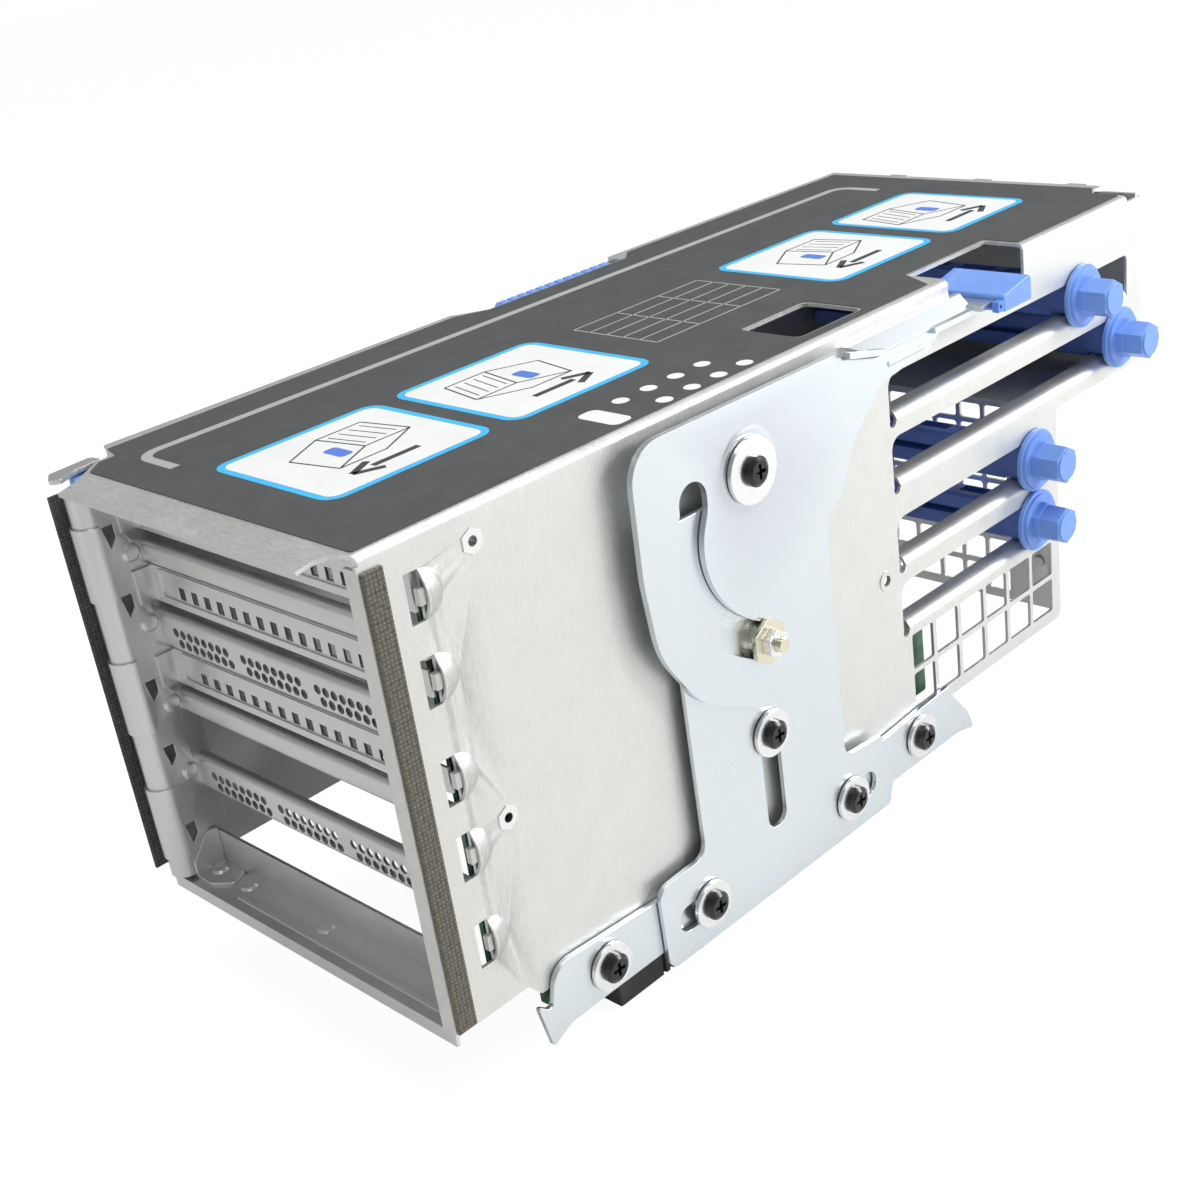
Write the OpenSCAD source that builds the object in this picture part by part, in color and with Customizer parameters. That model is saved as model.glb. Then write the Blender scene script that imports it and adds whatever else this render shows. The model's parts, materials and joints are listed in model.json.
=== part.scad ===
// Riser cage bracket: a folded sheet cage for five expansion cards, with a cam lever
// that lifts a slide plate and turns two hooks to draw the cage out of its dock.
// Right side carries the lever (+X), the slot face looks to -Y, and +Z is up.
// Modules draw from the cage's left front bottom corner, and datum() moves them to
// the middle of the dock plug's mating face.

/* [Cage] */
// Width over the two side walls
cage_w = 123.6; // [118:0.2:130]
// Height from the side's bottom edge to the top sheet
cage_h = 128; // [127:0.5:132]
// Depth of the top sheet
cage_d = 320; // [316:1:326]
// Depth of the lower half, in front of the rear step
lower_d = 266; // [264.5:0.5:268]
// Height of the rear step
step_z = 72.5; // [72:0.1:73]
// Sheet thickness of the cage
sheet = 1; // [0.8:0.1:1.2]
// Overhang of the top sheet's front lip
lip = 10.7; // [6:0.1:14]

/* [Slot face] */
// Distance of the slot face behind the side's front edge
face_y = 12.4; // [11.5:0.1:13.5]
// Face of the left bracket plate
bracket_x = 8; // [7:0.2:9]
// Columns of vents in each slot cover
vent_columns = 15; // [8:1:16]
// Height of the floor above the side's bottom edge
floor_z = 5; // [4.5:0.1:5.5]

/* [Lever drive] */
// Distance along Y of the lever pivot and the cam stud
drive_y = 114.5; // [112:0.1:116]
// Height of the lever pivot
pivot_z = 107; // [106:0.1:108]
// Cam radius with the lever closed
cam_closed_r = 47.4; // [46:0.1:48]
// Cam radius with the lever fully open
cam_open_r = 22.1; // [21.5:0.1:24]
// Lever angle from closed to open
lever_throw = 75; // [70:1:78]
// Tail of the slot past the open point
cam_dwell = 14; // [6:1:16]
// Width of the cam slot
cam_slot_w = 10; // [9.6:0.1:10.4]
// Thickness of the lever
lever_t = 1.8; // [1.5:0.1:2]
// Thickness of the slide plate
plate_t = 1.5; // [1.2:0.1:1.6]
// Thickness of the hooks
hook_t = 1.7; // [1.4:0.1:1.8]
// Height of the guide screw
guide_z = 31.6; // [31:0.1:32.5]
// Height of the hook pivots
hook_z = -3.7; // [-4:0.1:-3.4]
// Distance from a hook's pivot to its stud
hook_reach = 36.6; // [36:0.1:37]

/* [Card holders] */
// Diameter of a holder knob's flange
knob_d = 19.6; // [17:0.1:19.8]
// Distance across the flats of the knob's hexagon
knob_hex = 10.4; // [9:0.1:12]
// Length of the knob outside the cage
knob_l = 12; // [9:0.5:14]
// Height of the crossbar
bar_h = 12; // [10:0.5:12.5]
// Depth of the crossbar
bar_d = 10; // [8:0.5:11]

/* [Dock] */
// Width of the dock plug
plug_w = 7; // [6:0.5:8]
// Depth of the plug below the side's bottom edge
plug_drop = 25; // [22:0.5:27]
// Thickness of the riser board
board_t = 1.6; // [1.2:0.2:2]

/* [Hidden] */
$fn = 48;
plug_x = 115.5;
plug_y = 70.5;
inner_x = cage_w - sheet;
top_z = cage_h - sheet;
gap = 0.3;
hook_x = cage_w + gap;
plate_x = hook_x + hook_t + gap;
lever_x = plate_x + plate_t + gap;
lever_face = lever_x + lever_t;
cam_fall = (cam_closed_r - cam_open_r) / lever_throw;
lift = cam_closed_r - cam_open_r;
stud_z = pivot_z - cam_closed_r;
hook_ys = [48.1, 182.7];
hook_stud_ys = [hook_ys[0] + hook_reach, hook_ys[1] - hook_reach];
hook_stud_z = hook_z - 2;
bush_d = 13.4;
pivot_d = 9.5;
roller_d = cam_slot_w - 0.3;
// Card holder slots: low edge, high edge and rear end, from the top one down
holder_slots = [[98.4, 109.4, 309.6], [78.7, 91.1, 309.6], [54.1, 66.8, 258.6], [33.6, 46.5, 258.6]];
holder_ys = [281, 303, 252, 251.5];
holder_zs = [104, 84.2, 60, 40];
holder_front = 181;
// Middles of the windows that take the tongues of the card brackets
tongue_zs = [113.3, 93, 67.9, 47.8, 23.6];
tongue_h = 12;
socket_zs = [104, 84.2, 60, 40, 16.2];
clinch_at = [[30.7, 119.6], [26.6, 51.2]];
// Ends of the blue key on the left side, and how far its top reaches in
key_ys = [146, 199];
key_in = 6.7;
key_top = cage_h - 0.8;
grid_bars = [183.9, 196, 208.9, 222.7, 235.5, 248.8, 261.9];

// Unit vector
function unit(v) = v / norm(v);
// Angle brought between -180 and 180
function wrap(a) = a > 180 ? a - 360 : a < -180 ? a + 360 : a;
// Points of an arc about c
function arc(c, r, from, turn, n) =
    [for (k = [0:n]) c + r * [cos(from + turn * k / n), sin(from + turn * k / n)]];
// Arc of radius r that rounds corner b between a and c
function fillet(a, b, c, r, n) =
    let (
        u = unit(a - b),
        w = unit(c - b),
        half = acos(u * w) / 2,
        mid = b + unit(u + w) * r / sin(half),
        start = b + u * r / tan(half) - mid,
        stop = b + w * r / tan(half) - mid,
        from = atan2(start.y, start.x),
        turn = wrap(atan2(stop.y, stop.x) - from)
    )
    arc(mid, r, from, turn, n);
// Outline through corners [x, y, radius]
function rounded(p, n = 6) =
    [for (i = [0:len(p) - 1])
        let (
            a = p[(i + len(p) - 1) % len(p)],
            b = p[i],
            c = p[(i + 1) % len(p)]
        )
        each b[2] == 0 ? [[b.x, b.y]]
            : fillet([a.x, a.y], [b.x, b.y], [c.x, c.y], b[2], n)];
// Share of the slot's tail that is left at an angle past the open point
function cam_left(a) = a < lever_throw ? 1 : 1 - (a - lever_throw) / cam_dwell;
// Cam radius at an angle from straight down towards the front
function cam_r(a) = cam_closed_r - cam_fall
    * (min(a, lever_throw) + cam_dwell / 3 * (1 - pow(cam_left(a), 3)));
// Point beside the cam path, measured along its normal
function cam_point(a, side) =
    let (
        r = cam_r(a),
        rate = cam_fall * 180 / PI * pow(cam_left(a), 2),
        out = [-sin(a), -cos(a)],
        along = [-cos(a), sin(a)]
    )
    [drive_y, pivot_z] + r * out + side * (r * out + rate * along) / norm([r, rate]);

module datum() {
    translate([-plug_x, -plug_y, plug_drop])
        children();
}

// Flat shape in (y, z) thickened towards +X
module side_slab(x, t) {
    translate([x, 0, 0])
        rotate([90, 0, 90])
            linear_extrude(t)
                children();
}

// Round bar along +X
module x_rod(x, y, z, r, l) {
    translate([x, y, z])
        rotate([0, 90, 0])
            cylinder(r = r, h = l);
}

// Hexagon bar along +X, measured across its flats
module x_hex(x, y, z, af, l) {
    translate([x, y, z])
        rotate([0, 90, 0])
            cylinder(d = af / cos(30), h = l, $fn = 6);
}

module box(x, y, z, dx, dy, dz) {
    translate([x, y, z])
        cube([dx, dy, dz]);
}

// Straight slot with round ends in (y, z)
module slot_2d(a, b, w) {
    d = b - a;
    translate(a)
        circle(d = w);
    translate(b)
        circle(d = w);
    translate(a)
        rotate(atan2(d.y, d.x))
            translate([0, -w / 2])
                square([norm(d), w]);
}

// Cross-recess pan head on +X
module pan_screw(x, y, z, shank) {
    head_d = 8;
    head_h = 2;
    difference() {
        union() {
            x_rod(x, y, z, head_d / 2, head_h - 0.8);
            translate([x + head_h - 0.8, y, z])
                rotate([0, 90, 0])
                    cylinder(r1 = head_d / 2, r2 = head_d / 2 - 1.1, h = 0.8);
            x_rod(x - shank, y, z, 1.5, shank);
        }
        box(x + 0.9, y - 2, z - 0.5, head_h, 4, 1);
        box(x + 0.9, y - 0.5, z - 2, head_h, 1, 4);
    }
}

// Shouldered bush standing on the side, with its flange outboard
module bush(y, z, from, shoulder_r, to, flange_r, flange_t) {
    difference() {
        union() {
            x_rod(from, y, z, shoulder_r, to - from);
            x_rod(to, y, z, flange_r, flange_t);
        }
        x_rod(from - 1, y, z, 1.5, to - from + flange_t + 2);
    }
}

module side_outline() {
    polygon(rounded([
        [0, 4.4, 0.6], [23.5, 4.4, 1.5], [27, 0, 1.5], [lower_d, 0, 2.5],
        [lower_d, step_z, 2], [cage_d - 1.6, step_z, 1.5], [cage_d - 1.6, cage_h - 2, 0],
        [0, cage_h - 2, 0]
    ]));
}

// Square-holed field of the lower side
module side_grid() {
    bar = 1.6;
    low = 4.1;
    rise = 24.3;
    row = (rise - bar) / 2;
    for (i = [0:len(grid_bars) - 2])
        for (k = [0:1])
            side_slab(cage_w - 3, 5)
                polygon(rounded([
                    [grid_bars[i] + bar / 2, low + k * (row + bar), 0.8],
                    [grid_bars[i + 1] - bar / 2, low + k * (row + bar), 0.8],
                    [grid_bars[i + 1] - bar / 2, low + k * (row + bar) + row, 0.8],
                    [grid_bars[i] + bar / 2, low + k * (row + bar) + row, 0.8]
                ], 3));
}

// Window of one card holder slot, with the relief at its lower front corner
module holder_window(s) {
    relief_r = 1.4;
    side_slab(cage_w - 3, 5)
        polygon(rounded([
            [holder_front, s[0] - 3, 0], [s[2], s[0] - 3, 0],
            [s[2], s[1], 2], [holder_front, s[1], 4]
        ]));
    x_rod(cage_w - 3, holder_front + 1.2, s[0] - 3, relief_r, 5);
}

// Rail rolled inwards from a slot's lower edge
module holder_rail(s) {
    roll = 3;
    start = holder_front + 3;
    translate([cage_w - roll, start, s[0] - roll])
        rotate([-90, 0, 0])
            linear_extrude(s[2] - start)
                difference() {
                    intersection() {
                        circle(roll);
                        translate([0, -roll])
                            square([roll, roll]);
                    }
                    circle(roll - sheet);
                }
    box(cage_w - 6, start, s[0] - sheet, 3, s[2] - start, sheet);
}

// Hood pushed out behind one tongue window
module tongue_hood(z) {
    foot = 6;
    swell = 2.4;
    ball = (foot * foot + swell * swell) / (2 * swell);
    hood_y = 15;
    intersection() {
        difference() {
            translate([cage_w + swell - ball, hood_y, z])
                sphere(ball, $fn = 64);
            translate([cage_w + swell - ball, hood_y, z])
                sphere(ball - 0.8, $fn = 64);
        }
        box(cage_w - 0.9, hood_y, z - 7, 4, 8, 14);
    }
}

module cage_shell() {
    fold = 2;
    color("Silver")
    datum() {
        difference() {
            union() {
                side_slab(inner_x, sheet)
                    side_outline();
                box(sheet, -lip, top_z, cage_w - fold - sheet, cage_d + lip, sheet);
                box(0, 14.6, top_z, sheet, cage_d - 14.6, sheet);
                translate([cage_w - fold, cage_d, cage_h - fold])
                    rotate([90, 0, 0])
                        linear_extrude(cage_d)
                            difference() {
                                intersection() {
                                    circle(fold);
                                    square(fold);
                                }
                                circle(fold - sheet);
                            }
                // Front hem of the side
                box(cage_w - 4.6, 0, 4.6, 3.7, sheet, cage_h - 8);
            }
            // Corner left free for the latch
            translate([0, 0, top_z - 1])
                linear_extrude(3)
                    polygon(rounded([
                        [-5, -20, 0], [22, -20, 0], [21.9, -10.6, 0.5], [18.5, -4.1, 1],
                        [10.4, 6.2, 1.6], [9.4, 10.4, 3], [0.5, 14.6, 0.5], [-5, 14.6, 0]
                    ]));
            // Swept end of the lip at the right corner
            translate([0, 0, top_z - 1.5])
                linear_extrude(4)
                    polygon(rounded([
                        [118.6, -12, 0], [117.2, -5.7, 2], [118.4, -1.1, 4], [124.9, 1.2, 0],
                        [128, -12, 0]
                    ]));
            // Stepped rear edge at the right
            translate([0, 0, cage_h - fold])
                linear_extrude(6)
                    polygon(rounded([
                        [109, cage_d + 4, 0], [109, cage_d - 7, 1], [112, cage_d - 10, 1],
                        [130, cage_d - 10, 0], [130, cage_d + 4, 0]
                    ]));
            // Grip notch
            box(110.4, 211.4, 116, 20, 38.6, 20);
            // Window in the top
            translate([0, 0, top_z - 1])
                linear_extrude(3)
                    polygon(rounded([
                        [98, 152.7, 2.5], [117.5, 152.7, 2.5], [117.5, 179.7, 2.5],
                        [98, 179.7, 2.5]
                    ]));
            // Notch for the blue key on the left edge
            translate([0, 0, top_z - 1])
                linear_extrude(3)
                    polygon(rounded([
                        [-2, key_ys[0] - 13, 0], [0.5, key_ys[0] - 12.5, 0],
                        [key_in + gap, key_ys[0] - 3.5, 3], [key_in + gap, key_ys[1] + 1, 1],
                        [-2, key_ys[1] + 2, 0]
                    ]));
            side_grid();
            for (s = holder_slots)
                holder_window(s);
            for (z = tongue_zs)
                box(inner_x - 1, 11.1, z - tongue_h / 2, 4, 3.9, tongue_h);
            for (c = clinch_at)
                x_rod(inner_x - 1, c[0], c[1], 2.6, 4);
            x_rod(inner_x - 1, 174.3, 50.5, 1.6, 4);
        }
        // Tabs of the rear edge
        for (x = [25, 60, 96])
            box(x, cage_d, top_z, 7, 1.6, sheet);
        for (s = holder_slots)
            holder_rail(s);
        for (z = tongue_zs) {
            tongue_hood(z);
            box(cage_w - 0.5, 13.4, z - 2, 1.6, 4.2, 4);
        }
        // Ring pressed round the small plain hole
        difference() {
            x_rod(cage_w - 0.4, 174.3, 50.5, 3, 0.7);
            x_rod(cage_w - 2, 174.3, 50.5, 1.6, 4);
        }
    }
}

module left_panel() {
    color("Silver")
    datum() {
        difference() {
            union() {
                side_slab(0, sheet)
                    polygon(rounded([
                        [3.6, 4.4, 0], [lower_d, 4.4, 2.5], [lower_d, step_z, 2],
                        [cage_d - 1.6, step_z, 1.5], [cage_d - 1.6, top_z, 0],
                        [14.8, top_z, 0], [14.8, 122, 2], [3.6, 122, 0]
                    ]));
                // Round embosses of the solid front area
                for (p = [[60, 92], [60, 40], [120, 66]])
                    translate([sheet, p[0], p[1]])
                        rotate([0, 90, 0])
                            cylinder(r1 = 16, r2 = 14.8, h = 0.8);
            }
            side_slab(-1, 4)
                polygon(rounded([
                    [134, cage_h, 0], [141, 119.6, 3], [200.5, 119.6, 1], [200.5, cage_h, 0]
                ]));
        }
    }
}

module rear_wall() {
    pitch_x = 9.3;
    pitch_z = 9.95;
    bar = 1.6;
    wall_y = lower_d - 2;
    upper_y = cage_d - 3;
    color("Gainsboro")
    datum() {
        difference() {
            union() {
                box(sheet, wall_y, 2.6, inner_x - sheet, sheet, step_z - 2.6);
                box(sheet, wall_y, step_z - sheet, inner_x - sheet, upper_y - wall_y, sheet);
                box(sheet, upper_y, step_z - sheet, inner_x - sheet, sheet, top_z - step_z + sheet);
            }
            for (i = [0:9])
                for (k = [0:6])
                    translate([14.5 + i * pitch_x, wall_y + 3, 5.4 + k * pitch_z])
                        rotate([90, 0, 0])
                            linear_extrude(5)
                                polygon(rounded([
                                    [0, 0, 1], [pitch_x - bar, 0, 1],
                                    [pitch_x - bar, k < 6 ? pitch_z - bar : 5.2, 1],
                                    [0, k < 6 ? pitch_z - bar : 5.2, 1]
                                ], 2));
            // Holder slot 3 and 4 windows stay clear of this wall's edge
            box(inner_x - 4, wall_y - 1, 33, 6, 1, 35);
        }
        // Rivet of the side joint
        translate([117.5, wall_y + 0.2, 19.4])
            rotate([90, 0, 0])
                cylinder(r1 = 2.2, r2 = 1.5, h = 1.2);
    }
}

// Folded strip rolled over the front of the left side
module front_roll(x, y, r, z, l) {
    translate([x, y, z])
        linear_extrude(l)
            difference() {
                circle(r);
                circle(r - 0.8);
                translate([-r - 1, 0])
                    square([2 * r + 2, r + 1]);
            }
}

module slot_bracket() {
    roll_x = bracket_x / 2 + 0.5;
    windows = [107.8, 88.3, 63.3, 43.4, 18.8];
    tabs = [[91, 111.6], [51.8, 73.4], [12.3, 34.6]];
    dimples = [101.8, 81.7, 57.6, 36.6];
    color("LightGray")
    datum() {
        difference() {
            union() {
                box(bracket_x, 3, 6.2, sheet, face_y + 1.2, 114.4);
                front_roll(roll_x, 3, roll_x, 6.2, 114.4);
                for (t = tabs)
                    front_roll(roll_x, 3, roll_x + 0.7, t[0], t[1] - t[0]);
            }
            for (z = windows)
                side_slab(bracket_x - 2, 5)
                    polygon([[3.6, z + 3], [6.8, z + 3], [6.8, z - 0.6], [4.8, z - 3.2]]);
        }
        for (z = dimples)
            translate([bracket_x + sheet, face_y - 2.8, z])
                rotate([0, 90, 0])
                    cylinder(r1 = 2.6, r2 = 1.9, h = 0.7);
    }
}

// Folded channel across the slot face, holding the covers apart
module divider(low, high, holes) {
    back = 2.8;
    round_r = 1.6;
    t = 0.8;
    left = bracket_x + sheet;
    color("LightGray")
    datum() {
        difference() {
            translate([left, 0, 0])
                rotate([90, 0, 90])
                    linear_extrude(inner_x - left)
                        difference() {
                            polygon(rounded([
                                [face_y, low, round_r], [face_y, high, round_r],
                                [face_y + back, high, 0], [face_y + back, low, 0]
                            ], 5));
                            polygon(rounded([
                                [face_y + t, low + t, round_r - t],
                                [face_y + t, high - t, round_r - t],
                                [face_y + back + 1, high - t, 0], [face_y + back + 1, low + t, 0]
                            ], 5));
                        }
            if (holes)
                for (g = [0:2])
                    for (i = [0:7])
                        for (row = [0:1])
                            translate([16 + g * 31 + i * 3.3 + row * 1.65, face_y + 2,
                                    (low + high) / 2 + 0.5 - row * 3])
                                rotate([90, 0, 0])
                                    cylinder(d = 2.6, h = 4);
        }
    }
}

module divider_1() {
    divider(97.7, 104.3, false);
}

module divider_2() {
    divider(73.1, 84.2, true);
}

module divider_3() {
    divider(53.4, 60.3, false);
}

module divider_4() {
    divider(29.3, 40.2, true);
}

// Blanking cover of one card slot: a dished plate with a row of square vents
module slot_cover(low, high, vent_low, vent_h) {
    left = bracket_x + sheet;
    right = inner_x - 0.2;
    y = face_y + 1;
    t = 0.8;
    pitch = 5.8;
    color("Gainsboro")
    datum() {
        difference() {
            union() {
                box(left, y, low, right - left - 4, t, high - low);
                // Tongue at the right end
                box(right - 5, y, low + 2, 5, t, high - low - 4);
                // Raised border of the dished field
                translate([left + 4, y, low + 1.4])
                    rotate([90, 0, 0])
                        linear_extrude(0.5)
                            difference() {
                                polygon(rounded([
                                    [0, 0, 2], [right - left - 12, 0, 2],
                                    [right - left - 12, high - low - 1.8, 2],
                                    [0, high - low - 1.8, 2]
                                ]));
                                polygon(rounded([
                                    [1, 1, 1.2], [right - left - 13, 1, 1.2],
                                    [right - left - 13, high - low - 2.8, 1.2],
                                    [1, high - low - 2.8, 1.2]
                                ]));
                            }
            }
            for (i = [0:vent_columns - 1])
                box(21.5 + i * pitch, y - 1, vent_low, 2.8, 3, vent_h);
        }
        // Ear folded forward against the bracket plate
        box(left, y - 5, low + 0.6, t, 5, high - low - 1.2);
    }
}

module slot_cover_1() {
    slot_cover(107.3, 120.6, 110.3, 3.4);
}

module slot_cover_2() {
    slot_cover(86.6, 97.4, 89.6, 3.4);
}

module slot_cover_3() {
    slot_cover(62.1, 72.8, 65, 3.1);
}

module cross_member() {
    color("LightGray")
    datum() {
        difference() {
            union() {
                box(sheet, 1.5, floor_z - sheet, inner_x - sheet, face_y - 0.5, sheet);
                box(bracket_x + sheet, face_y, floor_z - sheet,
                    inner_x - bracket_x - sheet, sheet, 12);
                box(sheet, 0.5, 1, inner_x - sheet, sheet, floor_z - 1);
            }
            translate([30, 0, 0])
                rotate([-90, 0, 0])
                    cylinder(r = 0.8, h = 3);
        }
        // Bead pressed along the floor
        translate([28, 4.2, floor_z - 0.6])
            rotate([0, 90, 0])
                cylinder(r = 1, h = inner_x - 32);
    }
}

module corner_gusset() {
    t = 0.8;
    color("LightGray")
    datum() {
        translate([0, 0, floor_z])
            linear_extrude(t)
                polygon(rounded([
                    [bracket_x + sheet, 3, 0], [16, 3, 1], [22, 7, 1.5], [19, face_y, 0],
                    [bracket_x + sheet, face_y, 0]
                ]));
        side_slab(bracket_x + sheet, t)
            polygon(rounded([
                [3, floor_z + 0.1, 0], [face_y, floor_z + 0.1, 0], [face_y, 17, 0],
                [9, 17.4, 3], [3, 10, 2]
            ]));
    }
}

module floor_rivets() {
    color("WhiteSmoke")
    datum()
        for (p = [[12.6, 8.4, 0.8], [26, 8.8, 0], [61, 9, 0], [109, 9, 0]])
            translate([p[0], p[1], floor_z + p[2]])
                cylinder(r1 = 2.4, r2 = 1.7, h = 0.7);
}

module gasket_right() {
    color("DimGray")
    datum()
        box(cage_w, 0.5, 5.2, 0.8, 5.8, 118.7);
}

module gasket_left() {
    color("DarkSlateGray")
    datum()
        box(-1.6, -3.4, 8, 0.9, 9.4, 112);
}

module top_label() {
    t = 0.25;
    color("#3a3c3d")
    datum()
        translate([0, 0, cage_h])
            linear_extrude(t)
                difference() {
                    polygon(rounded([
                        [4.3, 13.2, 0.6], [11.6, 11.6, 2], [11.6, 6.6, 1], [16.3, 1.2, 1.2],
                        [121.4, 1.2, 1], [121.4, 205, 1], [112.6, 209.6, 1],
                        [109.2, 211.2, 1], [109.2, 251, 1], [121.4, 251, 1],
                        [121.4, 309, 1], [112, 309, 1], [108, 316, 1], [3, 316, 1],
                        [3, key_ys[1] + 8, 1], [key_in + 1.4, key_ys[1] + 2, 1],
                        [key_in + 1.4, key_ys[0] - 4, 3], [3, key_ys[0] - 14, 1]
                    ]));
                    polygon(rounded([
                        [97.2, 152, 2.5], [118.3, 152, 2.5], [118.3, 180.4, 2.5],
                        [97.2, 180.4, 2.5]
                    ]));
                }
}

module side_key() {
    color("RoyalBlue")
    datum()
        difference() {
            union() {
                side_slab(sheet, 2.2)
                    polygon(rounded([
                        [key_ys[0], 112, 1], [key_ys[1], 112, 1], [key_ys[1], key_top, 1.4],
                        [key_ys[0] + 4, key_top, 2]
                    ]));
                // Top leaf under the thumb
                translate([0, key_ys[0] + 4.6, 0])
                    rotate([-90, 0, 0])
                        linear_extrude(key_ys[1] - key_ys[0] - 6)
                            polygon([
                                [sheet, -key_top], [key_in, -key_top], [key_in, 2 - key_top],
                                [sheet + 2, 4.6 - key_top], [sheet, 4.6 - key_top]
                            ]);
            }
            for (y = [key_ys[0] + 8:4:key_ys[1] - 4])
                box(sheet - 1, y, key_top - 0.4, key_in + 1, 1, 1);
        }
}

module side_tab() {
    color("Gray")
    datum()
        side_slab(sheet, 1)
            polygon(rounded([
                [key_ys[1] + 0.2, 112, 0], [key_ys[1] + 7, 112, 1], [key_ys[1] + 7, top_z, 0],
                [key_ys[1] + 0.2, top_z, 0]
            ]));
}

module corner_latch() {
    color("LightGray")
    datum() {
        translate([0, 0, top_z - 0.2])
            linear_extrude(1.2)
                polygon(rounded([
                    [6.2, -4.6, 2], [4.8, 7.8, 1.4], [9, 8.6, 1], [10.2, 0.4, 0.4],
                    [12.9, -5, 1], [11, -7.4, 1.5]
                ]));
        box(5.2, 3.2, 118, 1, 4, top_z - 118);
        box(5.2, 3.2, 118, bracket_x - 5.2, 4, 1);
    }
}

module corner_key() {
    color("RoyalBlue")
    datum()
        translate([0, 0, 121])
            linear_extrude(5)
                polygon(rounded([
                    [6.4, 3, 0.4], [6.4, 7, 1], [9.6, 7, 1], [12.6, 2.8, 0.8],
                    [12.2, -0.8, 0.8], [8, -0.8, 0.8]
                ]));
}

module clinch_nuts() {
    color("WhiteSmoke")
    datum()
        for (c = clinch_at)
            difference() {
                union() {
                    x_hex(cage_w - 3, c[0], c[1], 6.4, 3 - sheet);
                    x_rod(inner_x, c[0], c[1], 2.55, sheet);
                    x_hex(cage_w, c[0], c[1], 5.6, 0.3);
                }
                x_rod(cage_w - 4, c[0], c[1], 1.25, 6);
            }
}

module lever_bush() {
    dome = 0.6;
    color("WhiteSmoke")
    datum() {
        bush(drive_y, pivot_z, cage_w, pivot_d / 2, lever_face + dome + gap, 8.8, 1.3);
        difference() {
            x_rod(cage_w, drive_y, pivot_z, 6, lever_x - gap - cage_w);
            x_rod(cage_w - 1, drive_y, pivot_z, 2, 8);
        }
    }
}

module guide_bush() {
    color("WhiteSmoke")
    datum() {
        bush(drive_y, guide_z, cage_w, 3.7, plate_x + plate_t + gap, bush_d / 2, 1.3);
        difference() {
            x_rod(cage_w, drive_y, guide_z, 5.4, plate_x - gap - cage_w);
            x_rod(cage_w - 1, drive_y, guide_z, 2, 8);
        }
    }
}

module hook_bushes() {
    color("WhiteSmoke")
    datum()
        for (y = hook_ys)
            bush(y, hook_z, inner_x - 1.4, 3, hook_x + hook_t + gap, bush_d / 2, 1.3);
}

module fixed_screws() {
    color("#202124")
    datum() {
        pan_screw(lever_face + 0.6 + gap + 1.3, drive_y, pivot_z, 8);
        pan_screw(plate_x + plate_t + gap + 1.3, drive_y, guide_z, 5);
        for (y = hook_ys)
            pan_screw(hook_x + hook_t + gap + 1.3, y, hook_z, 4);
    }
}

board_x = 117.4;
board_posts_at = [[38, 75.4], [150, 20], [150, 96]];

module riser_board() {
    color("DarkGreen")
    datum()
        difference() {
            side_slab(board_x, board_t)
                polygon(rounded([
                    [17, 8, 1], [31, 8, 1], [31, -8.4, 1], [134, -8.4, 1], [134, 4, 1],
                    [196, 4, 1], [196, 29.4, 1], [176, 31, 1], [176, 110, 2], [17, 110, 2]
                ]));
            for (p = board_posts_at)
                x_rod(board_x - 1, p[0], p[1], 1.6, 4);
        }
}

module board_posts() {
    color("Gold")
    datum()
        for (p = board_posts_at) {
            x_hex(board_x + board_t, p[0], p[1], 5, inner_x - board_x - board_t);
            x_rod(board_x - 0.8, p[0], p[1], 1.6, 2.6);
            x_rod(board_x - 1.6, p[0], p[1], 2.8, 1.6);
        }
}

module card_sockets() {
    depth = 11;
    color("#17181a")
    datum()
        for (z = socket_zs)
            difference() {
                box(board_x - depth, 32, z - 3.7, depth, 89, 7.4);
                box(board_x - depth - 1, 34, z - 0.9, 9.5, 11, 1.8);
                box(board_x - depth - 1, 47, z - 0.9, 9.5, 72, 1.8);
            }
}

module dock_plug() {
    left = plug_x - plug_w / 2;
    color("#17181a")
    datum()
        difference() {
            union() {
                box(left, 55.5, -plug_drop, plug_w, 30, plug_drop + 1);
                box(left, 85.5, 3 - plug_drop, plug_w, 48, plug_drop - 2);
            }
            box(board_x, 50, -9, 4, 90, 12);
            box(left + 2, 58, -plug_drop - 1, plug_w - 4, 25, 9);
            box(left + 2, 88, 2 - plug_drop, plug_w - 4, 43, 8);
            for (i = [0:4])
                box(left + plug_w - 0.8, 72 + i * 2.6, -plug_drop - 1, 2, 1.1, 12);
            // Lead-in of the front corner
            translate([left + plug_w, 53, -plug_drop])
                rotate([0, 0, 45])
                    box(-2, -2, -1, 4, 4, 14);
        }
}

module lever_outline() {
    polygon(rounded([
        [74.8, 125.6, 10], [153.8, 125, 1.5], [154.6, 122.6, 0], [169.5, 118.6, 0],
        [198.2, 118.6, 0.6], [195, 114.4, 2.5], [170.8, 111.4, 9], [156.8, 99.6, 7],
        [151, 88, 8], [133, 75.6, 9], [130.2, 60, 10], [130.4, 41.6, 12],
        [110.5, 41.6, 20], [88.4, 53, 26], [76.4, 71.4, 26], [74.2, 92, 40]
    ], 8));
}

module cam_slot_2d() {
    last = lever_throw + cam_dwell;
    half = cam_slot_w / 2;
    inner = [for (a = [0:3:last]) cam_point(a, -half)];
    outer = [for (a = [0:3:last]) cam_point(a, half)];
    stop = floor(last / 3) * 3;
    polygon(concat(inner, [for (i = [len(outer) - 1:-1:0]) outer[i]]));
    translate(cam_point(0, 0))
        circle(half);
    translate(cam_point(stop, 0))
        circle(half);
}

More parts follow.
